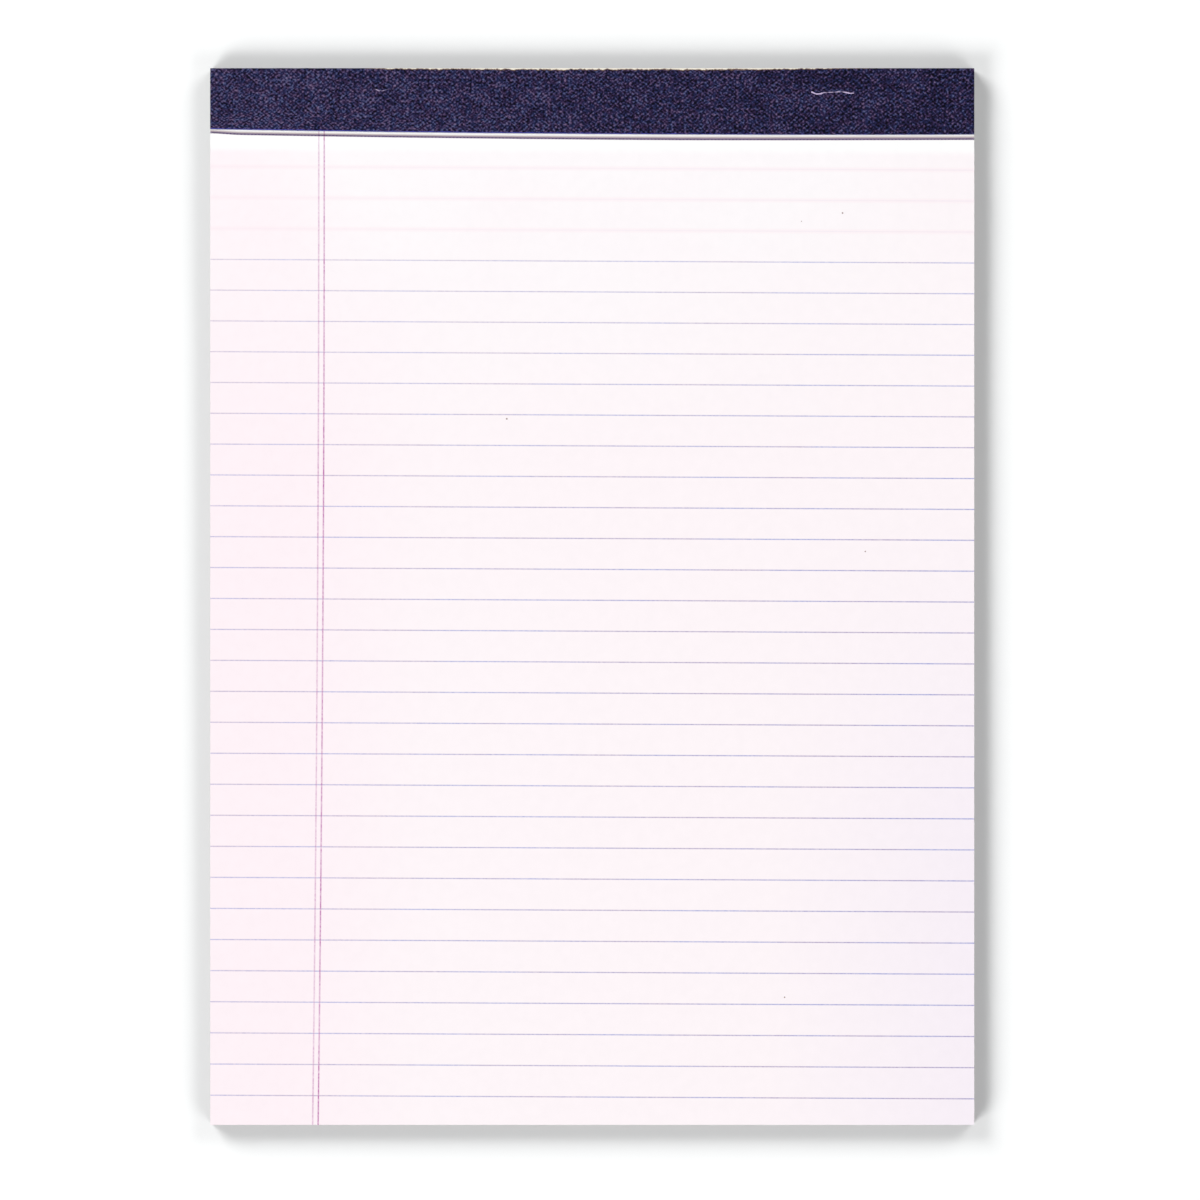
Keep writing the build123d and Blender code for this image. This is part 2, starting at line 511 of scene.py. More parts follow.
@dataclass(frozen=True)
class RuledPaper(Finish):
    """White bond paper, machine-made from bleached pulp and ruled by offset in two inks.

    The eye sees a matt sheet that is a little pink and cloudy, rules whose ink is thin and uneven, and the
    rules of the next sheet showing faintly through the blank head.
    """

    name: str = "ruled_bond_paper"
    roughness: float = 0.62
    tint_left: str = "#F1E5EA"
    tint_middle: str = "#F1E9EC"
    head_painted_light: str = "#F1EDEF"
    crease_strip_painted_light: str = "#F3F3F3"
    corner_painted_shade: str = "#EBE3EB"
    rule_blue: str = "#9197CC"
    rule_grey: str = "#A395B8"
    ghost: str = "#F0DEE4"
    margin_red: str = "#B35CA2"
    # painted shade in the crease: buff on its slope, violet grey at its bottom
    crease_shade_buff: str = "#C9BBB8"
    crease_shade_violet: str = "#7B659A"
    speck: str = "#8A7470"
    grain_per_mm: float = 1.6  # where ink takes or fails, every 0.6 mm
    tooth_per_mm: float = 2.8  # paper tooth is 0.05 mm; it is drawn at 0.35 mm, as coarse as it needs to show
    tooth_height: float = 0.02
    flocks_per_mm: float = 0.33  # fibres flock into clouds some 3 mm wide
    clouds_per_mm: float = 0.02  # the stock's own cast drifts every 50 mm
    hues_per_mm: float = 0.04  # and the ink's every 25 mm
    left_across: tuple[float, float] = (-40.0, -90.0)  # where the pink comes in
    corner_shade_across: tuple[float, float] = (50.0, 114.0)  # and the cool corner, which is painted shade
    corner_shade_along: tuple[float, float] = (30.0, -70.0)
    head_light_along: tuple[float, ...] = (40.0, 125.0, 0.0, 1.6)  # painted light on the head: from, to, and how white it is there
    head_light_aside: tuple[float, ...] = (45.0, 100.0, 1.5, 0.6)
    lit_strip_along: tuple[float, float] = (124.6, 127.2)  # painted light: the white strip by the crease
    first_rule_y: float = 94.75
    rule_pitch: float = 8.748  # 11/32 in, a little stretched
    rule_count: int = 28
    rule_half: float = 0.15
    rule_blur: float = 0.05
    rule_bow: float = 0.43  # how far the middle rules stand above even spacing
    rule_drift: tuple[float, ...] = (-100.0, 100.0, 0.72, 0.98)  # across: from, to, and the ink there
    rule_starved: tuple[float, ...] = (10.0, 95.0, 1.0, 0.75)  # the same along the page
    rule_hold: tuple[float, float] = (0.7, 1.1)  # ink where the grain is poor and where it is good
    rules_through: int = 3  # rules of the next sheet that show in the blank head
    ghost_line: tuple[float, ...] = (-100.0, 100.0, 0.05, 0.13)  # across: from, to, and the ink there
    ghost_band: tuple[float, float] = (1.0, 0.2)  # how far off its line a soft band starts and is full
    ghost_strength: float = 0.35
    edge_loss: float = 0.75  # ink missing from the cut edges, where only a trace of each rule soaks in
    margins: tuple[tuple[float, float, float], ...] = (
        (-77.62, 0.2, 0.54),
        (-76.08, 0.2, 0.84),
    )  # place across, half width, ink density
    margin_blur: float = 0.1
    margin_starved: tuple[float, ...] = (20.0, 127.0, 1.0, 0.75)
    margin_patches: tuple[float, ...] = (0.35, 0.65, 0.75, 1.2)
    margin_hold: tuple[float, float] = (0.55, 1.25)
    margin_bow: float = 0.6  # how far the margin lines lean out near the foot
    margin_bow_over: float = 160.0
    margin_straight_at: float = 20.0
    specks: tuple[tuple[float, float, float], ...] = (
        (70.2, 108.7, 0.28),
        (-24.4, 50.1, 0.3),
        (77.1, 13.1, 0.24),
        (54.9, -113.0, 0.26),
        (58.6, 106.3, 0.17),
    )  # dust in the pulp: place across, place along, radius

    def surface(self, tree: Tree) -> dict[str, object]:
        """Lays down the paper, then the inks, the specks and the painted shade of the crease.

        Args:
            tree: the material's tree.

        Returns:
            The shader's inputs.
        """
        in_mm = self.in_mm(tree)
        turned = {"Vector": in_mm, "Rotation": (0, 0, math.radians(PadShape.print_skew))}
        axes = add_node(tree, "ShaderNodeSeparateXYZ", (add_node(tree, "ShaderNodeMapping", turned),))
        at = SheetPlace(in_mm, axes.outputs["X"], axes.outputs["Y"])
        grain = self.inked(tree, in_mm)
        colour = self.pulp(tree, at)
        colour = self.rules(tree, colour, at, grain)
        colour = self.margin(tree, colour, at, grain)
        colour = self.dust(tree, colour, at)
        colour = self.crease(tree, colour)
        tooth = add_node(tree, NOISE, {"Vector": in_mm, "Scale": self.tooth_per_mm, "Detail": 4.0})
        relief = {"Height": tooth, "Strength": 0.08, "Distance": self.tooth_height * MM}
        return {"Base Color": colour, "Normal": add_node(tree, "ShaderNodeBump", relief)}

    def pulp(self, tree: Tree, at: SheetPlace) -> Node:
        """The sheet's colour: pink at the left, with painted light that whitens the head and the strip by the
        crease, and painted shade that cools the lower right corner.

        Args:
            tree: the material's tree.
            at: the place on the sheet.

        Returns:
            The node that gives the colour.
        """
        left = add_node(tree, RANGE, (at.x, *self.left_across), interpolation_type="SMOOTHSTEP")
        # Painted shade: a cool tint in the lower right corner.
        right = add_node(tree, RANGE, (at.x, *self.corner_shade_across))
        low = add_node(tree, RANGE, (at.y, *self.corner_shade_along))
        corner = add_node(tree, MATH, (right, low), operation="MULTIPLY")
        # Painted light: the head is whiter, most of all towards the middle line, in clouds.
        clouds = add_node(tree, NOISE, {"Vector": at.in_mm, "Scale": self.clouds_per_mm, "Detail": 2.0})
        aside = add_node(tree, MATH, (at.x,), operation="ABSOLUTE")
        inner = add_node(tree, RANGE, (aside, *self.head_light_aside))
        head = add_node(tree, RANGE, (at.y, *self.head_light_along))
        for factor, last in ((inner, False), (clouds, True)):
            head = add_node(tree, MATH, (head, factor), operation="MULTIPLY", use_clamp=last)
        # Painted light: the strip by the crease, and the sheet above it, are whiter.
        close = add_node(tree, RANGE, (at.y, *self.lit_strip_along), interpolation_type="SMOOTHSTEP")
        colour = linear(self.tint_middle)
        for share, tint in (
            (left, self.tint_left),
            (corner, self.corner_painted_shade),
            (head, self.head_painted_light),
            (close, self.crease_strip_painted_light),
        ):
            colour = add_node(tree, MIX, {0: share, 6: colour, 7: linear(tint)}, data_type="RGBA")
        flocks = add_node(tree, NOISE, {"Vector": at.in_mm, "Scale": self.flocks_per_mm, "Detail": 3.0})
        shade = add_node(tree, RANGE, (flocks, *USUAL, 0.992, 1.008))
        return add_node(tree, MIX, {0: 1.0, 6: colour, 7: shade}, data_type="RGBA", blend_type="MULTIPLY")

    def inked(self, tree: Tree, in_mm: Node) -> Node:
        """How well each point takes ink: by the grain of the paper, and less on the cut edges.

        Args:
            tree: the material's tree.
            in_mm: the place on the sheet.

        Returns:
            The node that gives it, mostly between 0.3 and 0.7 on the face.
        """
        grain = add_node(tree, NOISE, {"Vector": in_mm, "Scale": self.grain_per_mm, "Detail": 3.0})
        facing = add_node(tree, "ShaderNodeNewGeometry").outputs["True Normal"]
        up = add_node(tree, "ShaderNodeSeparateXYZ", (facing,)).outputs["Z"]
        lost = add_node(tree, RANGE, (up, 0.3, 0.6, self.edge_loss, 0.0))
        return add_node(tree, MATH, (grain, lost), operation="SUBTRACT")

    def broken(self, tree: Tree, grain: Node, hold: tuple[float, float]) -> Node:
        """The share of ink that stays on, between what a poor grain holds and what a good one does."""
        share = add_node(tree, RANGE, (grain, *USUAL, *hold), clamp=False)
        return add_node(tree, MATH, (share, 0.0), operation="MAXIMUM")

    def rules(self, tree: Tree, colour: Node, at: SheetPlace, grain: Node) -> Node:
        """The rules, with those of the next sheet faint above the first.

        Args:
            tree: the material's tree.
            colour: the colour so far.
            at: the place on the sheet.
            grain: how well each point takes ink.

        Returns:
            The node that gives the new colour.
        """
        last_y = self.first_rule_y - (self.rule_count - 1) * self.rule_pitch
        head_y = self.first_rule_y + self.rule_pitch / 2
        top_y = head_y + self.rules_through * self.rule_pitch
        share = add_node(tree, RANGE, (at.y, last_y, self.first_rule_y))
        rest = add_node(tree, MATH, (1.0, share), operation="SUBTRACT")
        bow = add_node(tree, MATH, (share, rest), operation="MULTIPLY")
        even_y = add_node(tree, MATH, (bow, -4 * self.rule_bow, at.y), operation="MULTIPLY_ADD")
        from_last = add_node(tree, MATH, (even_y, last_y), operation="SUBTRACT")
        off_rule = add_node(tree, MATH, (from_last, self.rule_pitch / 2), operation="PINGPONG")
        edges = (self.rule_half + self.rule_blur, self.rule_half - self.rule_blur)
        line = add_node(tree, RANGE, (off_rule, *edges), interpolation_type="SMOOTHSTEP")
        printed = add_node(tree, MATH, (at.y, head_y), operation="LESS_THAN")
        on_sheet = add_node(tree, MATH, (at.y, top_y), operation="LESS_THAN")
        # Show-through is a soft band, with a trace of the line itself.
        blank = add_node(tree, MATH, (on_sheet, printed), operation="SUBTRACT")
        band = (off_rule, *self.ghost_band, 0.0, self.ghost_strength)
        blurred = add_node(tree, RANGE, band, interpolation_type="SMOOTHSTEP")
        through = add_node(tree, MATH, (blank, blurred), operation="MULTIPLY")
        colour = add_node(tree, MIX, {0: through, 6: colour, 7: linear(self.ghost)}, data_type="RGBA")
        faint = add_node(tree, RANGE, (at.x, *self.ghost_line))
        below_last = add_node(tree, MATH, (from_last, -1.0), operation="GREATER_THAN")
        seen = add_node(tree, MATH, (on_sheet, faint), operation="MULTIPLY")
        seen = add_node(tree, MATH, (seen, printed), operation="MAXIMUM")
        seen = add_node(tree, MATH, (seen, below_last), operation="MULTIPLY")
        # The ink runs thin at the left and towards the head.
        drift = add_node(tree, RANGE, (at.x, *self.rule_drift))
        starved = add_node(tree, RANGE, (at.y, *self.rule_starved))
        ink = line
        for factor in (seen, drift, starved, self.broken(tree, grain, self.rule_hold)):
            ink = add_node(tree, MATH, (ink, factor), operation="MULTIPLY", use_clamp=True)
        patches = add_node(tree, NOISE, {"Vector": at.in_mm, "Scale": self.hues_per_mm, "Detail": 2.0})
        hue = add_node(tree, RANGE, (patches, 0.4, 0.6))
        inks = {0: hue, 6: linear(self.rule_blue), 7: linear(self.rule_grey)}
        pigment = add_node(tree, MIX, inks, data_type="RGBA")
        return add_node(tree, MIX, {0: ink, 6: colour, 7: pigment}, data_type="RGBA")

    def margin(self, tree: Tree, colour: Node, at: SheetPlace, grain: Node) -> Node:
        """The double margin line, a little bowed, whose ink breaks into dots where it is thin.

        Args:
            tree: the material's tree.
            colour: the colour so far.
            at: the place on the sheet.
            grain: how well each point takes ink.

        Returns:
            The node that gives the new colour.
        """
        up = add_node(tree, MATH, (at.y, self.margin_straight_at), operation="SUBTRACT")
        up = add_node(tree, MATH, (up, self.margin_bow_over), operation="DIVIDE")
        bow = add_node(tree, MATH, (up, up), operation="MULTIPLY")
        x = add_node(tree, MATH, (bow, self.margin_bow, at.x), operation="MULTIPLY_ADD")
        patches = add_node(tree, NOISE, {"Vector": at.in_mm, "Scale": self.clouds_per_mm, "Detail": 3.0})
        starved = add_node(tree, RANGE, (at.y, *self.margin_starved))
        strength = add_node(tree, RANGE, (patches, *self.margin_patches))
        strength = add_node(tree, MATH, (strength, starved), operation="MULTIPLY")
        broken = self.broken(tree, grain, self.margin_hold)
        for place, half, density in self.margins:
            offset = add_node(tree, MATH, (x, place), operation="SUBTRACT")
            distance = add_node(tree, MATH, (offset,), operation="ABSOLUTE")
            edges = (half + self.margin_blur, half - self.margin_blur, 0.0, density)
            ink = add_node(tree, RANGE, (distance, *edges), interpolation_type="SMOOTHSTEP")
            for factor, last in ((strength, False), (broken, True)):
                ink = add_node(tree, MATH, (ink, factor), operation="MULTIPLY", use_clamp=last)
            colour = add_node(tree, MIX, {0: ink, 6: colour, 7: linear(self.margin_red)}, data_type="RGBA")
        return colour

    def dust(self, tree: Tree, colour: Node, at: SheetPlace) -> Node:
        """The few dark specks in the pulp.

        Args:
            tree: the material's tree.
            colour: the colour so far.
            at: the place on the sheet.

        Returns:
            The node that gives the new colour.
        """
        flat = add_node(tree, "ShaderNodeCombineXYZ", {"X": at.x, "Y": at.y})
        for across, along, radius in self.specks:
            ends = (flat, (across, along, 0.0))
            distance = add_node(tree, "ShaderNodeVectorMath", ends, operation="DISTANCE").outputs["Value"]
            dot = add_node(tree, RANGE, (distance, radius, radius * 0.6))
            colour = add_node(tree, MIX, {0: dot, 6: colour, 7: linear(self.speck)}, data_type="RGBA")
        return colour

    def crease(self, tree: Tree, colour: Node) -> Node:
        """Painted shade in the tear-off crease, from buff on its slope to violet grey at its bottom.

        Args:
            tree: the material's tree.
            colour: the colour so far.

        Returns:
            The node that gives the new colour.
        """
        shade = add_node(tree, "ShaderNodeAttribute", attribute_name="crease_shade").outputs["Fac"]
        tone = (1, 1, 1, 1)
        # Painted shade, deepening towards the bottom of the crease.
        for start, end, tint in ((0.0, 0.5, self.crease_shade_buff), (0.4, 1.0, self.crease_shade_violet)):
            depth = add_node(tree, RANGE, (shade, start, end))
            tone = add_node(tree, MIX, {0: depth, 6: tone, 7: linear(tint)}, data_type="RGBA")
        return add_node(tree, MIX, {0: 1.0, 6: colour, 7: tone}, data_type="RGBA", blend_type="MULTIPLY")


@dataclass(frozen=True)
class BindingPaper(Finish):
    """Strong paper, coated navy and embossed with a fine diamond grain between rollers.

    The eye sees dark blue mottled with violet, a crossed diagonal weave with painted glints on its crests and
    painted shade in its valleys, painted light brighter at its left end, a paler cut edge, and cream paper
    where the coat has rubbed off the fold.
    """

    name: str = "embossed_binding_paper"
    roughness: float = 0.6
    sheen_level: float = 0.05
    navy: str = "#252951"
    violet: str = "#332648"
    valley_painted_shade: str = "#040411"
    blue_painted_glint: str = "#676E92"
    rose_painted_glint: str = "#806D8D"
    cut_blue: str = "#464699"
    cream: str = "#F2ECDC"
    core: str = "#6B5347"
    # the pale line over each staple: a scuffed coat and a painted highlight on its ridge
    scuff_highlight: str = "#BFAFD0"
    grain_x: float = 1.40  # the diamonds' width
    grain_y: float = 1.13  # and height
    emboss_depth: float = 0.05
    stir: float = 1.6  # how far the diamonds are pushed about
    lattice_share: float = 0.85
    grit_span: tuple[float, ...] = (0.25, 0.75, -1.5, 1.5)
    valley: tuple[float, float] = (0.45, -1.3)  # the tones where painted shade comes in and is full
    crest: tuple[float, ...] = (0.2, 2.35, 0.0, 0.85)  # and the painted glint, with its strengths
    cloud_tones: tuple[float, float] = (-0.36, 0.36)
    painted_light_ends: tuple[float, float] = (0.14, -0.32)  # painted light: tone at the strip's left and right ends, brighter at the left
    ragged: float = 0.2  # how softly wear ends
    patches_per_mm: float = 0.7  # the stir and the two hues change every 1.4 mm
    grit_per_mm: float = 1.35  # grit of the coat, 0.7 mm
    flecks_per_mm: float = 0.8  # wear flakes off some 1.2 mm wide
    clouds_per_mm: float = 0.16  # the coat's depth drifts every 6 mm
    tape_half: float = 108.0

    def relief(self, tree: Tree, place: Socket) -> Node:
        """Height of the emboss: a diamond lattice, broken up, as the rollers' pattern prints unevenly.

        Args:
            tree: the material's tree.
            place: the place along and across the strip, in mm.

        Returns:
            The node that gives the height, mostly between -1.5 and 1.5.
        """
        mottle = add_node(tree, NOISE, {"Vector": place, "Scale": self.patches_per_mm, "Detail": 2.0})
        ends = (mottle.outputs["Color"], (0.5, 0.5, 0.5))
        wander = add_node(tree, "ShaderNodeVectorMath", ends, operation="SUBTRACT")
        wander = add_node(tree, "ShaderNodeVectorMath", {0: wander, "Scale": self.stir}, operation="SCALE")
        pushed = add_node(tree, "ShaderNodeVectorMath", {0: place, 1: wander}, operation="ADD")
        axes = add_node(tree, "ShaderNodeSeparateXYZ", (pushed,))
        waves = []
        for axis, pitch, wave in (("X", self.grain_x, "SINE"), ("Y", self.grain_y, "COSINE")):
            turn = add_node(tree, MATH, (axes.outputs[axis], 2 * math.pi / pitch), operation="MULTIPLY")
            waves.append(add_node(tree, MATH, (turn,), operation=wave))
        lattice = add_node(tree, MATH, tuple(waves), operation="MULTIPLY")
        grit = add_node(tree, NOISE, {"Vector": place, "Scale": self.grit_per_mm, "Detail": 1.2})
        grit = add_node(tree, RANGE, (grit, *self.grit_span), clamp=False)
        return add_node(tree, MATH, (lattice, self.lattice_share, grit), operation="MULTIPLY_ADD")

    def surface(self, tree: Tree) -> dict[str, object]:
        """Builds the grain on the tape's own map, which is in millimetres along and across the strip.

        Args:
            tree: the material's tree.

        Returns:
            The shader's inputs.
        """
        place = add_node(tree, "ShaderNodeUVMap", uv_map="strip").outputs["UV"]
        height = self.relief(tree, place)
        patches = add_node(tree, NOISE, {"Vector": place, "Scale": self.patches_per_mm, "Detail": 2.0})
        hue = add_node(tree, RANGE, (patches, 0.4, 0.6))
        clouds = add_node(tree, NOISE, {"Vector": place, "Scale": self.clouds_per_mm, "Detail": 3.0})
        cloud = add_node(tree, RANGE, (clouds, *USUAL, *self.cloud_tones))
        across = add_node(tree, "ShaderNodeSeparateXYZ", (place,)).outputs["X"]
        # Painted light: the strip is lit brighter at its left end than at its right.
        painted_falloff = add_node(tree, RANGE, (across, -self.tape_half, self.tape_half, *self.painted_light_ends))
        tone = height
        for change in (cloud, painted_falloff):
            tone = add_node(tree, MATH, (tone, change), operation="ADD")
        colour, glint = (
            add_node(tree, MIX, {0: hue, 6: linear(cool), 7: linear(warm)}, data_type="RGBA")
            for cool, warm in ((self.navy, self.violet), (self.blue_painted_glint, self.rose_painted_glint))
        )
        # Painted shade in the emboss's valleys and painted glints on its crests.
        valley = add_node(tree, RANGE, (tone, *self.valley))
        crest = add_node(tree, RANGE, (tone, *self.crest))
        for amount, coat in ((valley, linear(self.valley_painted_shade)), (crest, glint)):
            colour = add_node(tree, MIX, {0: amount, 6: colour, 7: coat}, data_type="RGBA")
        relief = {"Height": height, "Strength": 0.5, "Distance": self.emboss_depth * MM}
        return {
            "Base Color": self.rubbed(tree, colour, place),
            "Specular IOR Level": self.sheen_level,
            "Normal": add_node(tree, "ShaderNodeBump", relief),
        }

    def rubbed(self, tree: Tree, colour: Node, place: Socket) -> Node:
        """Wear and painted highlight: the cut edge, the brown core and cream body bared on the fold, and
        scuffs over the staples, whose pale line is also a painted highlight on their ridges.

        Args:
            tree: the material's tree.
            colour: the coat's colour.
            place: the place along and across the strip, in mm.

        Returns:
            The node that gives the worn colour.
        """
        flecks = add_node(tree, NOISE, {"Vector": place, "Scale": self.flecks_per_mm, "Detail": 4.0})
        for layer, least, tone in (
            ("cut_edge", 0.95, self.cut_blue),
            ("fold_wear", 0.78, self.core),
            ("fold_wear", 1.0, self.cream),
            ("staple_scuff_highlight", 0.95, self.scuff_highlight),
        ):
            amount = add_node(tree, "ShaderNodeAttribute", attribute_name=layer).outputs["Fac"]
            over = add_node(tree, MATH, (amount, flecks), operation="ADD")
            bare = add_node(tree, RANGE, (over, least, least + self.ragged))
            colour = add_node(tree, MIX, {0: bare, 6: colour, 7: linear(tone)}, data_type="RGBA")
        return colour


@dataclass(frozen=True)
class Chipboard(Finish):
    """Grey chipboard, rolled from recycled paper, with its fibres and ink specks left in.

    The eye sees a dull warm grey, soft clouds, dark and pale flecks, and fine layers on the cut edge.
    """

    name: str = "recycled_chipboard"
    roughness: float = 0.85
    body: str = "#A2978A"
    pale: str = "#B8AFA2"
    fibre: str = "#7A6F63"
    fleck: str = "#4C4A4E"
    clouds_per_mm: float = 0.12
    fibres_per_mm: tuple[float, float, float] = (3.2, 0.5, 9.0)  # they lie mostly along, 2 to 4 mm long
    cells_per_mm: float = 0.45  # a fleck may stand in each cell
    fibre_height: float = 0.06

    def surface(self, tree: Tree) -> dict[str, object]:
        """Clouds, long fibres and flecks.

        Args:
            tree: the material's tree.

        Returns:
            The shader's inputs.
        """
        in_mm = self.in_mm(tree)
        clouds = add_node(tree, NOISE, {"Vector": in_mm, "Scale": self.clouds_per_mm, "Detail": 5.0})
        pale = add_node(tree, RANGE, (clouds, 0.35, 0.65))
        drawn = add_node(tree, "ShaderNodeMapping", {"Vector": in_mm, "Scale": self.fibres_per_mm})
        fibres = add_node(tree, NOISE, {"Vector": drawn, "Scale": 1.0, "Detail": 4.0})
        dark = add_node(tree, RANGE, (fibres, 0.52, 0.7, 0.0, 0.6))
        cells = add_node(tree, "ShaderNodeTexVoronoi", {"Vector": in_mm, "Scale": self.cells_per_mm})
        dots = add_node(tree, RANGE, (cells.outputs["Distance"], 0.16, 0.08))
        some = add_node(tree, "ShaderNodeSeparateColor", {0: cells.outputs["Color"]}).outputs["Red"]
        few = add_node(tree, MATH, (some, 0.72), operation="GREATER_THAN")
        flecks = add_node(tree, MATH, (dots, few), operation="MULTIPLY")
        colour = linear(self.body)
        for amount, tone in ((pale, self.pale), (dark, self.fibre), (flecks, self.fleck)):
            colour = add_node(tree, MIX, {0: amount, 6: colour, 7: linear(tone)}, data_type="RGBA")
        relief = {"Height": fibres, "Strength": 0.35, "Distance": self.fibre_height * MM}
        return {"Base Color": colour, "Normal": add_node(tree, "ShaderNodeBump", relief)}


@dataclass(frozen=True)
class StapleWire(Finish):
    """Galvanised steel wire, drawn and flattened.

    The eye sees a grey metal with fine lines along the wire.
    """

    name: str = "galvanised_wire"
    roughness: float = 0.34
    zinc: str = "#B9BBBD"
    dull: str = "#8C8F93"
    streaks_per_mm: tuple[float, float, float] = (0.4, 9.0, 9.0)

    def surface(self, tree: Tree) -> dict[str, object]:
        """Streaks along the wire, from the drawing die.

        Args:
            tree: the material's tree.

        Returns:
            The shader's inputs.
        """
        drawn = add_node(
            tree, "ShaderNodeMapping", {"Vector": self.in_mm(tree), "Scale": self.streaks_per_mm}
        )
        streaks = add_node(tree, NOISE, {"Vector": drawn, "Scale": 1.0, "Detail": 3.0})
        metals = {0: streaks, 6: linear(self.dull), 7: linear(self.zinc)}
        gloss = add_node(tree, RANGE, (streaks, 0.0, 1.0, self.roughness - 0.08, 0.5))
        colour = add_node(tree, MIX, metals, data_type="RGBA")
        return {"Base Color": colour, "Roughness": gloss, "Metallic": 1.0}


@dataclass(frozen=True)
class FloorCard(Finish):
    """White card, matt and even."""

    name: str = "white_card"
    roughness: float = 0.9
    tone: str = "#F7F8F8"
    clouds_per_mm: float = 0.004

    def surface(self, tree: Tree) -> dict[str, object]:
        """A faint unevenness, a quarter of a metre wide.

        Args:
            tree: the material's tree.

        Returns:
            The shader's inputs.
        """
        clouds = add_node(tree, NOISE, {"Vector": self.in_mm(tree), "Scale": self.clouds_per_mm})
        shade = add_node(tree, RANGE, (clouds, 0.0, 1.0, 0.99, 1.01))
        tones = {0: 1.0, 6: linear(self.tone), 7: shade}
        colour = add_node(tree, MIX, tones, data_type="RGBA", blend_type="MULTIPLY")
        return {"Base Color": colour, "Specular IOR Level": 0.0}


# ---- Pieces ----------------------------------------------------------------------------------------


@dataclass
class TopSheet:
    """The sheet that shows: creased and perforated under the tape's edge, and a little wavy below it."""

    shape: PadShape
    slit_pitch: float = 1.0
    slit_length: float = 0.6
    slit_half: float = 0.035
    waviness: float = 0.03
    wave_size: float = 45.0
    wave_run: tuple[float, float] = (2.0, 30.0)  # below the crease, where the waves come in
    shade_run: float = 0.15  # below the crease, where its painted shade starts to thin out
    printed_share: float = 0.965  # of the bake map's height
    strip_start: float = 0.97

    def rows(self) -> np.ndarray:
        """Grid lines across the sheet, close together at the crease.

        Returns:
            Their places on the middle line.
        """
        s = self.shape
        crease_y = s.crease_y
        swell_y = crease_y - s.swell_peak - 6.0
        return steps(
            (s.foot_y, s.foot_y + 2.0, 0.5),
            (s.foot_y + 2.0, swell_y, 9.0),
            (swell_y, crease_y - 1.0, 1.6),
            (crease_y - 1.0, crease_y - s.crease_wall, 0.2),
            (crease_y - s.crease_wall, crease_y - self.slit_half, 0.09),
            (crease_y - self.slit_half, crease_y + self.slit_half, 0.07),
            (crease_y + self.slit_half, crease_y + s.crease_slope, 0.1),
            (crease_y + s.crease_slope, crease_y + 2.0, 0.2),
            (crease_y + 2.0, s.head_y - s.fold_radius, 6.0),
        )

    def columns(self) -> np.ndarray:
        """Grid lines down the sheet, at both ends of each slit.

        Returns:
            Their places across.
        """
        half, pitch = self.shape.half_width, self.slit_pitch
        starts = np.arange(math.ceil(-half / pitch) + 1, math.floor(half / pitch)) * pitch
        return np.unique(np.concatenate([[-half], starts, starts + self.slit_length, [half]]))

    def skin(self) -> bpy.types.Object:
        """The underside of the sheet, with the painted shade of its crease and the row that is perforated.

        Returns:
            The object, one layer of faces.
        """
        s = self.shape
        across, along = self.columns(), self.rows()
        x, y = s.page_grid(across, along)
        below = s.below_crease(x, y)
        wave = self.waviness * smooth(*self.wave_run, below) * unevenness(x, y, self.wave_size, seed=11)
        z = s.swell(below) - s.dent(below) + wave - s.sheet_pitch
        points = np.stack([x, y, z], axis=-1).reshape(-1, 3)
        piece = make_object("top_sheet", points, grid_faces(len(along), len(across)))
        slope = np.clip(1.0 + below / np.interp(x, s.crease_at, s.crease_slopes), 0.0, 1.0)
        shade = slope * (1 - smooth(self.shade_run, s.crease_wall, below))
        tear = np.abs(y - s.crease_shift(x) - s.crease_y) < self.slit_half * 1.05
        set_values(piece.data, "crease_shade", shade)
        set_values(piece.data, "tear_row", tear.astype(float))
        return piece

    def tree(self) -> Tree:
        """Cuts the slits out of the tear row and thickens the skin into a closed sheet.

        Returns:
            The Geometry Nodes tree.
        """
        sizes = {"Thickness": "Float", "Pitch": "Float", "Slit": "Float"}
        kinds = {"Sheet": "Geometry", **sizes, "Paper": "Material"}
        tree, given = tree_with_inputs("perforated_sheet", kinds)
        given = given.outputs
        place = add_node(tree, "ShaderNodeSeparateXYZ", (add_node(tree, "GeometryNodeInputPosition"),))
        along_cell = add_node(tree, MATH, (place, given["Pitch"]), operation="FLOORED_MODULO")
        row = {"Name": "tear_row"}
        row = add_node(tree, "GeometryNodeInputNamedAttribute", row, data_type="FLOAT").outputs["Attribute"]
        tests = [
            add_node(tree, "FunctionNodeCompare", {"A": value, "B": limit}, data_type="FLOAT", operation=test)
            for value, limit, test in ((along_cell, given["Slit"], "LESS_THAN"), (row, 0.99, "GREATER_THAN"))
        ]
        chosen = add_node(tree, "FunctionNodeBooleanMath", tuple(tests), operation="AND")
        removed = {"Geometry": given["Sheet"], "Selection": chosen}
        cut = add_node(tree, "GeometryNodeDeleteGeometry", removed, domain="FACE")
        up = add_node(tree, "ShaderNodeCombineXYZ", {"Z": given["Thickness"]})
        push = {"Mesh": cut, "Offset": up, "Offset Scale": 1.0, "Individual": False}
        raised = add_node(tree, "GeometryNodeExtrudeMesh", push, mode="FACES")
        turned = add_node(tree, "GeometryNodeFlipFaces", {"Mesh": cut})
        both = add_node(tree, "GeometryNodeJoinGeometry")
        for side in (raised, turned):
            tree.links.new(side.outputs["Mesh"], both.inputs["Geometry"])
        sewn = add_node(tree, "GeometryNodeMergeByDistance", {"Geometry": both, "Distance": 1e-6})
        plain = add_node(tree, "GeometryNodeRealizeInstances", {"Geometry": sewn})
        dressed = add_node(tree, "GeometryNodeSetMaterial", {"Geometry": plain, "Material": given["Paper"]})
        add_node(tree, "NodeGroupOutput", {0: dressed})
        return tree

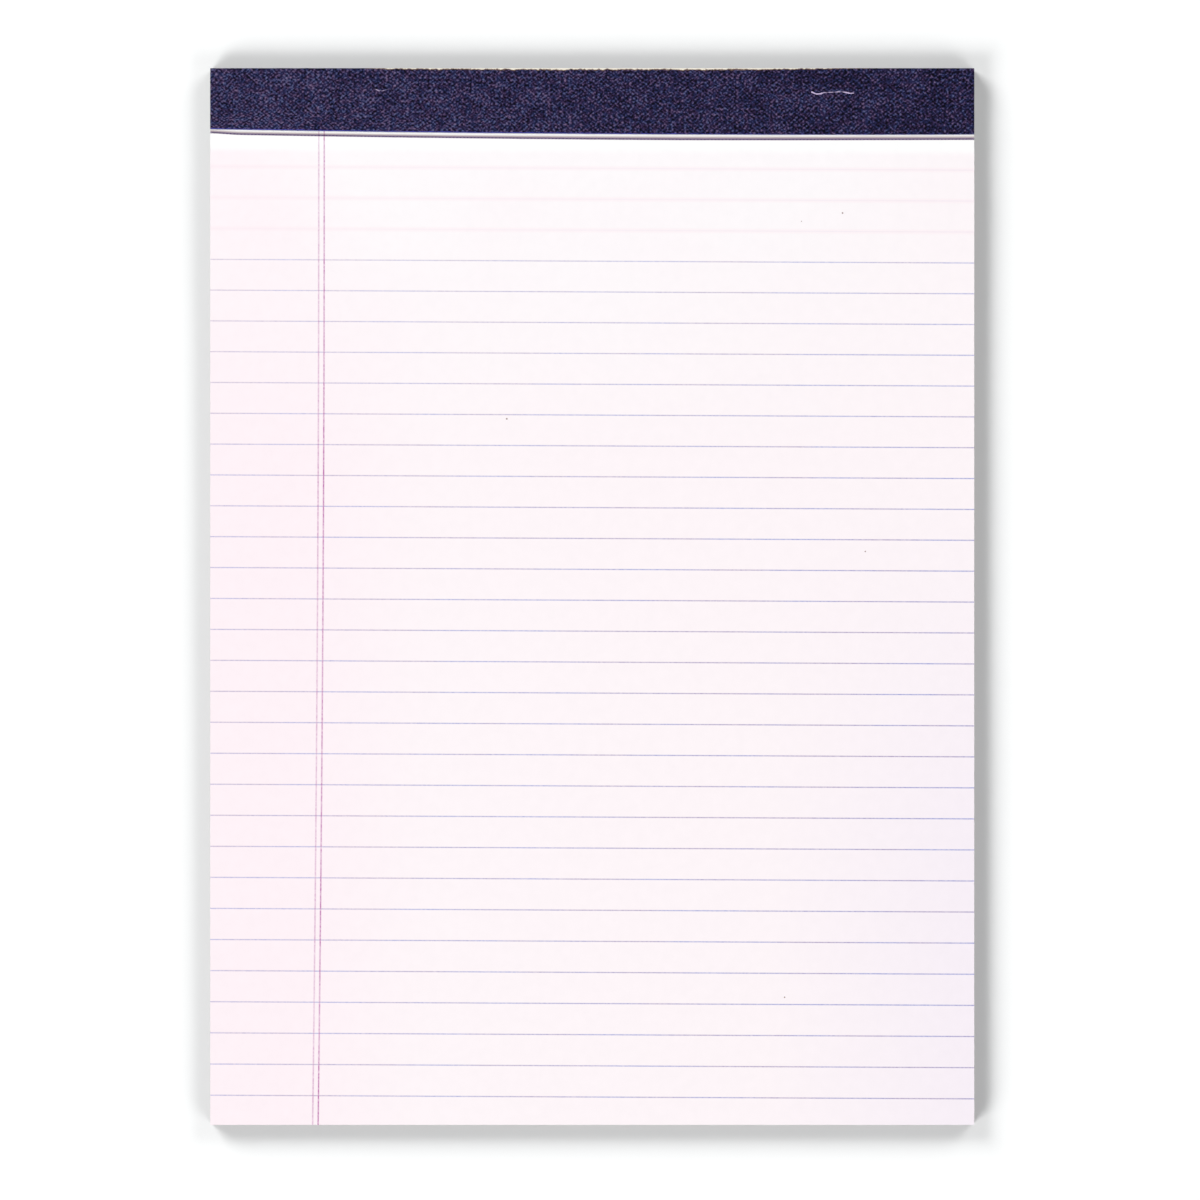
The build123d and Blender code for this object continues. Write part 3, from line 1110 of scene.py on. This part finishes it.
    def build(self, paper: RuledPaper) -> bpy.types.Object:
        """Makes the sheet, dresses it and seats it on the frame.

        Args:
            paper: its finish.

        Returns:
            The piece.
        """
        values = {
            "Thickness": self.shape.sheet_pitch * MM,
            "Pitch": self.slit_pitch * MM,
            "Slit": self.slit_length * MM,
            "Paper": paper.material(),
        }
        piece = grown(self.skin(), self.tree(), values)
        self.lay_bake_map(piece.data)
        return seat(piece, paper.material(), "page_block")

    def lay_bake_map(self, mesh: bpy.types.Mesh) -> None:
        """Lays a map that gives the printed side nearly all the room, and the rest a strip along its top.

        Args:
            mesh: the finished sheet.
        """
        s = self.shape
        flat = np.zeros(len(mesh.vertices) * 3, np.float32)
        mesh.vertices.foreach_get("co", flat)
        loops = np.zeros(len(mesh.loops), np.int32)
        mesh.loops.foreach_get("vertex_index", loops)
        face_of_loop = np.repeat(np.arange(len(mesh.polygons)), [p.loop_total for p in mesh.polygons])
        normals = np.zeros(len(mesh.polygons) * 3, np.float32)
        mesh.polygons.foreach_get("normal", normals)
        facing = normals.reshape(-1, 3)[face_of_loop, 2]
        x, y, z = (flat.reshape(-1, 3) / MM)[loops].T
        across = (x + s.half_width) / (2 * s.half_width)
        along = (y - s.foot_y) / (s.head_y - s.foot_y)
        up = (z - s.board) / (s.crown_top - s.board)
        room = 1 - self.strip_start
        sides = [facing > 0.2, facing < -0.2]
        u = np.select(sides, [across, across * 0.5], 0.5 + 0.25 * (across + along))
        v_printed, v_under = along * self.printed_share, self.strip_start + along * room
        v = np.select(sides, [v_printed, v_under], self.strip_start + up * room)
        set_map(mesh, BAKE_MAP, np.stack([u, v], axis=1))


@dataclass
class LooseLeaves:
    """The sheets under the top one, each a thin leaf cut and stacked a little out of line."""

    shape: PadShape
    thickness: float = 0.066
    jitter: float = 0.1
    dent_ease: float = 0.13  # how much wider the crease is in the leaves, so that none pokes through
    seed: int = 5

    def leaf(self) -> bpy.types.Object:
        """One flat leaf, which carries the stack's floor, room and dent at each of its points.

        Returns:
            The object, one closed leaf.
        """
        s = self.shape
        inset, ease, crease_y = self.jitter, self.dent_ease, s.crease_y
        left = -s.half_width + inset
        across = steps((left, left + 10.0, 2.0), (left + 10.0, s.half_width - inset, 19.0))
        along = steps(
            (s.foot_y + inset, crease_y - s.swell_end, 40.0),
            (crease_y - s.swell_end, crease_y - s.swell_start, 8.0),
            (crease_y - s.crease_wall - ease, crease_y - ease, s.crease_wall),
            (crease_y + ease, crease_y + s.crease_slope + ease, s.crease_slope),
            (crease_y + s.crease_slope + ease, s.head_y - inset, 9.0),
        )
        x, y = s.page_grid(across, along)
        below = s.below_crease(x, y)
        eased = np.sign(below) * np.maximum(np.abs(below) - ease, 0.0)
        floor = s.underside(y) + s.board
        low = np.stack([x, y, np.zeros_like(x)], axis=-1)
        high = low + [0.0, 0.0, self.thickness]
        piece = make_object("under_sheets", *slab(high, low))
        for name, values in (
            ("floor", floor),
            ("room", s.swell(below) - s.sheet_pitch - floor - self.thickness),
            ("dent", s.dent(eased)),
        ):
            set_values(piece.data, name, np.tile(values.ravel(), 2) * MM)
        return piece

    def tree(self) -> Tree:
        """Repeats a leaf up the stack: each copy is shifted by the jitter and takes its share of the room.

        Returns:
            The Geometry Nodes tree.
        """
        kinds = {"Leaf": "Geometry", "Count": "Int", "Jitter": "Float", "Seed": "Int", "Paper": "Material"}
        tree, given = tree_with_inputs("stacked_leaves", kinds)
        given = given.outputs
        count, jitter = given["Count"], given["Jitter"]
        spots = add_node(tree, "GeometryNodePoints", {"Count": count})
        placed = {"Points": spots, "Instance": given["Leaf"]}
        copies = add_node(tree, "GeometryNodeInstanceOnPoints", placed)
        most = add_node(tree, MATH, (count, 1.0), operation="SUBTRACT")
        number = add_node(tree, "GeometryNodeInputIndex")
        share = add_node(tree, MATH, (number, most), operation="DIVIDE")
        mark = {"Geometry": copies, "Name": "share", "Value": share}
        store = "GeometryNodeStoreNamedAttribute"
        marked = add_node(tree, store, mark, data_type="FLOAT", domain="INSTANCE")
        least = add_node(tree, MATH, (jitter, -1.0), operation="MULTIPLY")
        low, high = (add_node(tree, "ShaderNodeCombineXYZ", {"X": end, "Y": end}) for end in (least, jitter))
        ends = {"Min": low, "Max": high, "Seed": given["Seed"]}
        shift = add_node(tree, "FunctionNodeRandomValue", ends, data_type="FLOAT_VECTOR")
        moved = {"Instances": marked, "Translation": shift}
        shifted = add_node(tree, "GeometryNodeTranslateInstances", moved)
        real = add_node(tree, "GeometryNodeRealizeInstances", {"Geometry": shifted})
        floor, room, dent, share = (
            add_node(tree, "GeometryNodeInputNamedAttribute", {"Name": name}, data_type="FLOAT")
            for name in ("floor", "room", "dent", "share")
        )
        raised = add_node(tree, MATH, (room, share, floor), operation="MULTIPLY_ADD")
        # The crease presses the top leaves most.
        pressed = add_node(tree, MATH, (share, 2.0), operation="POWER")
        pressed = add_node(tree, MATH, (pressed, dent), operation="MULTIPLY")
        up = add_node(tree, MATH, (raised, pressed), operation="SUBTRACT")
        offset = add_node(tree, "ShaderNodeCombineXYZ", {"Z": up})
        stacked = add_node(tree, "GeometryNodeSetPosition", {"Geometry": real, "Offset": offset})
        dressed = add_node(tree, "GeometryNodeSetMaterial", {"Geometry": stacked, "Material": given["Paper"]})
        add_node(tree, "NodeGroupOutput", {0: dressed})
        return tree

    def build(self, paper: RuledPaper) -> bpy.types.Object:
        """Makes the stack, dresses it and seats it on the frame.

        Args:
            paper: its finish.

        Returns:
            The piece.
        """
        values = {
            "Count": self.shape.sheet_count - 1,
            "Jitter": self.jitter * MM,
            "Seed": self.seed,
            "Paper": paper.material(),
        }
        piece = grown(self.leaf(), self.tree(), values)
        return seat(piece, paper.material(), "page_block")


@dataclass
class BindingTape:
    """The strip folded over the head, which shows the staples beneath it as low ridges."""

    shape: PadShape
    ridge_slope: float = 0.6
    ridge_margin: float = 0.1
    ridge_slump: float = 0.28  # how much wider a ridge is towards the head than its wire
    ridge_wander: float = 0.05
    wander_length: float = 2.3
    wander_phase: float = 1.7
    spacing: float = 0.8  # of grid lines across, and next, close to the staples
    fine_spacing: float = 0.3
    fine_ends: float = 1.5  # past the staples' ends, where grid lines are close
    fine_reach: float = 1.3  # and beside them
    fold_steps: int = 7
    laid_run: float = 7.0  # from the front edge, where the tape lies askew
    edge_curl: float = 0.03
    curl_size: float = 14.0
    slack: float = 0.02
    slack_size: float = 9.0
    bevel: float = 0.1
    cut_width: float = 0.6
    cut_across: tuple[float, float] = (-20.0, 70.0)  # places across, for the next
    cut_bared: tuple[float, float] = (0.95, 0.65)
    worn_at: tuple[float, ...] = (-68, -62, -50, -30, -12, 20, 45, 62, 70, 84, 92)  # places across
    worn_widths: tuple[float, ...] = (-0.8, 0.06, 0.18, 0.24, 0.34, 0.36, 0.28, 0.18, -0.05, -0.15, -0.8)
    worn_edge: float = 0.6  # wear at the edge of the worn width
    worn_fade: float = 0.9  # and how fast it fades past that, per mm
    worn_most: float = 0.8
    worn_waver: float = 0.06
    waver_size: float = 5.0
    worn_drop: tuple[float, float] = (1.2, 0.1)  # below the sheets' top, where wear starts and is full
    scuff_highlight_depths: tuple[float, float] = (0.65, 0.93)
    scuff_highlight_half: float = 0.24
    scuff_highlight_ends: tuple[float, float] = (0.6, 0.1)  # inside and past a staple's end, where its scuffed and highlighted line fades
    scuff_highlight_across: tuple[float, ...] = (-6.3, -5.6, -4.6, -3.6, -2.2, 0.0, 2.2, 3.8, 5.0, 6.2)
    scuff_highlight_strengths: tuple[float, ...] = (0.85, 0.95, 1.05, 0.9, 0.73, 0.7, 0.69, 0.74, 0.88, 0.75)
    scuff_highlight_bends: tuple[float, ...] = (1.05, 0.75, 0.3, 0.35, 0.75, 0.8, 1.0, 0.75, 0.5, 0.6)

    def columns(self) -> np.ndarray:
        """Grid lines across the pad, closer over the staples, with one on the middle line.

        Returns:
            Their places across.
        """
        half = self.shape.half_width
        reach = self.shape.crown_half + self.fine_ends
        places = [steps((-half, 0.0, self.spacing), (0.0, half, self.spacing))]
        places += [steps((x - reach, x + reach, self.fine_spacing)) for x, _ in self.shape.crowns]
        return steps(*[(p, p, 1.0) for p in np.unique(np.concatenate(places))])

    def fold_rows(self, centre_z: float, angles: np.ndarray) -> list[tuple[float, float, float, float]]:
        """The section's rows round one fold.

        Args:
            centre_z: height of the fold's centre.
            angles: up from straight out, in radians.

        Returns:
            Rows of y, z and the outward normal's y and z.
        """
        r = self.shape.fold_radius
        fold_y = self.shape.head_y - r
        ways = [(math.cos(angle), math.sin(angle)) for angle in angles]
        return [(fold_y + r * out, centre_z + r * up, out, up) for out, up in ways]

    def section(self) -> np.ndarray:
        """The strip's inner face from the front edge over the head to the back edge, on the middle line.

        Returns:
            Rows of y, z, the outward normal's y and z, and the distance along the strip.
        """
        s = self.shape
        r = s.fold_radius
        fold_y, back_y = s.head_y - r, s.head_y - s.tape_back
        low, high = s.lift + r, s.head_top - r
        ends = [y for _, y in s.crowns]
        near, far = min(ends) - self.fine_reach, max(ends) + self.fine_reach
        front = steps((s.edge_y, s.edge_y + 0.4, 0.1), (s.edge_y, fold_y, 0.5), (near, far, 0.16))
        back = steps((back_y, fold_y, 1.2), (near, far, 0.22))[::-1]
        turn = np.linspace(0.0, math.pi / 2, self.fold_steps)
        rows = [(y, s.head_top, 0.0, 1.0) for y in front[:-1]]
        rows += self.fold_rows(high, math.pi / 2 - turn)
        rows += [(s.head_y, z, 1.0, 0.0) for z in np.linspace(high, low, self.fold_steps)[1:-1]]
        rows += self.fold_rows(low, -turn)
        rows += [(y, s.lift, 0.0, -1.0) for y in back[1:]]
        rows = np.array(rows)
        along = np.concatenate([[0.0], np.cumsum(np.hypot(*np.diff(rows[:, :2], axis=0).T))])
        return np.column_stack([rows, along])

    def ridges(self, x: np.ndarray, y: np.ndarray) -> np.ndarray:
        """Where the strip rides over wire.

        Args:
            x: places across.
            y: places along.

        Returns:
            1 on the wire, falling to 0 beside it.
        """
        s = self.shape
        total = np.zeros_like(x)
        land = s.wire_half + self.ridge_margin + self.ridge_slump
        for number, (cx, cy) in enumerate(s.crowns):
            bend = self.ridge_wander * np.sin((x - cx) / self.wander_length + self.wander_phase * number)
            out_x = np.maximum(np.abs(x - cx) - s.crown_half, 0.0)
            out_y = np.maximum(np.abs(y - cy - self.ridge_slump - bend) - land, 0.0)
            total = np.maximum(total, 1.0 - smooth(0.0, self.ridge_slope, np.hypot(out_x, out_y)))
        return total

    def surfaces(self) -> tuple[np.ndarray, np.ndarray, np.ndarray, np.ndarray]:
        """Shapes the strip: its lie, its ridges, its curled edge and its slack.

        Returns:
            The outer and inner faces, and the places across and along the strip, all rows by columns.
        """
        s = self.shape
        section = self.section()
        x, _ = np.meshgrid(self.columns(), section[:, 0])
        y, z, ny, nz, along = (np.repeat(section[:, [i]], x.shape[1], axis=1) for i in range(5))
        on_front, on_back = nz > 0.99, nz < -0.99
        hand_laid = np.where(on_front, 1.0 - smooth(s.edge_y, s.edge_y + self.laid_run, y), 0.0)
        y = y + hand_laid * s.edge_shift(x)
        crown_rise = s.crown_proud + s.wire_clearance
        clinch_rise = s.clinch_proud + s.wire_clearance
        ridge = self.ridges(x, y)
        rise = np.where(on_front, crown_rise * ridge, 0.0) + np.where(on_back, clinch_rise * ridge, 0.0)
        curl = self.edge_curl * (1 + unevenness(x, y, self.curl_size, seed=3)) * np.clip(hand_laid, 0, 1) ** 6
        rise = rise + np.where(on_front, curl, 0.0)
        slack = self.slack * (1 + unevenness(x, along, self.slack_size, seed=8))
        slack = slack * smooth(1.0, 4.0, s.head_y - y)
        rise = rise + np.where(on_front, np.maximum(slack, 0.0) * (1.0 - ridge), 0.0)
        inner = np.stack([x, y + ny * rise, z + nz * rise], axis=-1)
        thick = s.tape - self.bevel * (1 - smooth(0.0, 0.5, along)) * on_front
        outer = inner + np.stack([np.zeros_like(x), ny * thick, nz * thick], axis=-1)
        return outer, inner, x, along

    def wear(self, outer: np.ndarray) -> dict[str, np.ndarray]:
        """How far the coat is worn at each point: on the fold, over each staple, where a painted highlight
        lies along the ridge too, and at the cut edge.

        Args:
            outer: the outer face's points.

        Returns:
            The amounts, by the names that the finish reads.
        """
        s = self.shape
        x, y, z = outer[..., 0], outer[..., 1], outer[..., 2]
        waver = self.worn_waver * unevenness(x, 0 * x, self.waver_size, seed=21)
        from_edge = s.head_y + s.tape - y - (np.interp(x, self.worn_at, self.worn_widths) + waver)
        fold_wear = np.clip(self.worn_edge - self.worn_fade * from_edge, 0.0, self.worn_most)
        scuff_highlight = np.zeros_like(x)
        inside, past = self.scuff_highlight_ends
        # Over each staple: scuffed coat and a painted highlight along the crest of its ridge.
        for (cx, cy), depth in zip(s.crowns, self.scuff_highlight_depths):
            crest = cy + np.interp(x - cx, self.scuff_highlight_across, self.scuff_highlight_bends)
            strength = depth * np.interp(x - cx, self.scuff_highlight_across, self.scuff_highlight_strengths)
            along = 1 - smooth(s.crown_half - inside, s.crown_half + past, np.abs(x - cx))
            scuff_highlight += strength * along * np.exp(-(((y - crest) / self.scuff_highlight_half) ** 2)) * (z > s.head_top)
        from_cut = 1.0 - (y - s.edge_y - s.edge_shift(x)) / self.cut_width
        return {
            "fold_wear": fold_wear * smooth(*(s.head_top - drop for drop in self.worn_drop), z),
            "staple_scuff_highlight": scuff_highlight,
            "cut_edge": np.clip(from_cut, 0.0, 1.0) * np.interp(x, self.cut_across, self.cut_bared),
        }

    def build(self, finish: BindingPaper) -> bpy.types.Object:
        """Makes the strip, dresses it and seats it on the frame.

        Args:
            finish: its finish.

        Returns:
            The piece.
        """
        outer, inner, across, along = self.surfaces()
        points, faces = slab(outer, inner)
        piece = make_object("folded_tape", points, faces)
        for name, values in self.wear(outer).items():
            set_values(piece.data, name, np.concatenate([values.ravel(), np.zeros(values.size)]))
        strip = np.stack([across.ravel(), along.ravel()], axis=1)
        set_map(piece.data, "strip", np.concatenate([strip, strip])[faces.ravel()])
        return seat(piece, finish.material(), "binding_tape", crisp=50.0)


def dress_cad_node(name: str, finish: Finish) -> bpy.types.Object:
    """Gives a CAD node that stays its finish.

    Args:
        name: the node's name.
        finish: its finish.

    Returns:
        The node's object.
    """
    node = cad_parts[name]
    node.data.materials.clear()
    node.data.materials.append(finish.material())
    return node


# ---- Studio ----------------------------------------------------------------------------------------


@dataclass
class Studio:
    """A white floor, soft boxes at its corners, stronger at the left, and a camera straight above."""

    floor_size: float = 6.0  # metres, as are the lamps' sizes
    floor_drop: float = 0.02  # mm under the pad
    camera_over: tuple[float, float] = (2.19, -0.99)  # mm
    view_width: float = 339.0  # mm
    lens: float = 200.0
    horizon: float = 0.95
    overhead: float = 0.1
    bearings: tuple[float, ...] = (45.0, 135.0, 225.0, 315.0)
    lamp_power: float = 195.0
    lamp_size: float = 3.0
    lamp_height: float = 3.0
    ring_radius: float = 5.2
    lean: float = 0.5  # how much stronger the lamps are on the side of the next
    lean_bearing: float = 174.0

    def floor(self) -> None:
        """A broad card just under the pad."""
        half = self.floor_size / 2 / MM
        ticks = np.linspace(-half, half, 5)
        x, y = np.meshgrid(ticks, ticks)
        points = np.stack([x, y, np.full_like(x, -self.floor_drop)], axis=-1).reshape(-1, 3)
        card = make_object("floor_card", points, grid_faces(5, 5))
        card.data.materials.append(FloorCard().material())

    def dim_sky(self) -> None:
        """A weak even light, so that no shadow is black, and a pale rim at the horizon for a backdrop."""
        world = bpy.data.worlds.new("dim_sky")
        world.use_nodes = True
        tree = world.node_tree
        tree.nodes.clear()
        way = add_node(tree, "ShaderNodeTexCoord").outputs["Generated"]
        up = add_node(tree, "ShaderNodeSeparateXYZ", (way,)).outputs["Z"]
        glow = add_node(tree, RANGE, (up, 0.08, 0.25, self.horizon, self.overhead))
        sky = add_node(tree, "ShaderNodeBackground", {"Color": (1.0, 1.0, 1.0, 1.0), "Strength": glow})
        add_node(tree, "ShaderNodeOutputWorld", {"Surface": sky})
        bpy.context.scene.world = world

    def soft_boxes(self) -> None:
        """Large square lamps: their light doesn't bounce, which keeps the shadows clear."""
        for bearing in self.bearings:
            turn = math.radians(bearing)
            box = bpy.data.lights.new("soft_box", "AREA")
            box.shape = "SQUARE"
            box.size = self.lamp_size
            box.energy = self.lamp_power * (1 + self.lean * math.cos(turn - math.radians(self.lean_bearing)))
            box.cycles.max_bounces = 0
            lamp = bpy.data.objects.new("soft_box", box)
            place = Vector((math.cos(turn), math.sin(turn), 0.0)) * self.ring_radius
            place.z = self.lamp_height
            lamp.location = place
            lamp.rotation_euler = (-place).to_track_quat("-Z", "Y").to_euler()
            bpy.context.scene.collection.objects.link(lamp)

    def camera(self) -> None:
        """A long lens, straight down, with the head of the pad at the top of the frame."""
        data = bpy.data.cameras.new("camera")
        data.lens = self.lens
        half_angle = math.atan(data.sensor_width / 2 / data.lens)
        camera = bpy.data.objects.new("camera", data)
        x, y = (value * MM for value in self.camera_over)
        camera.location = (x, y, self.view_width / 2 * MM / math.tan(half_angle) + cad_box[1].z)
        bpy.context.scene.collection.objects.link(camera)
        bpy.context.scene.camera = camera

    def build(self) -> None:
        """Sets up the whole studio."""
        self.floor()
        self.dim_sky()
        self.soft_boxes()
        self.camera()
        bpy.context.scene.view_settings.view_transform = "Standard"


def main() -> None:
    """Builds the pad's pieces in order, then the studio."""
    logging.basicConfig(level=logging.INFO, format="%(name)s: %(message)s")
    shape = PadShape.from_frame()
    paper = RuledPaper()
    made = [
        dress_cad_node("backing_board", Chipboard()),
        LooseLeaves(shape).build(paper),
        TopSheet(shape).build(paper),
        BindingTape(shape).build(BindingPaper()),
    ]
    made += [dress_cad_node(name, StapleWire()) for name in ("staple_left", "staple_right")]
    for piece in made:
        piece.data.calc_loop_triangles()
        log.info("%s: %d triangles", piece.name, len(piece.data.loop_triangles))
    Studio().build()


if __name__ == "__main__":
    main()
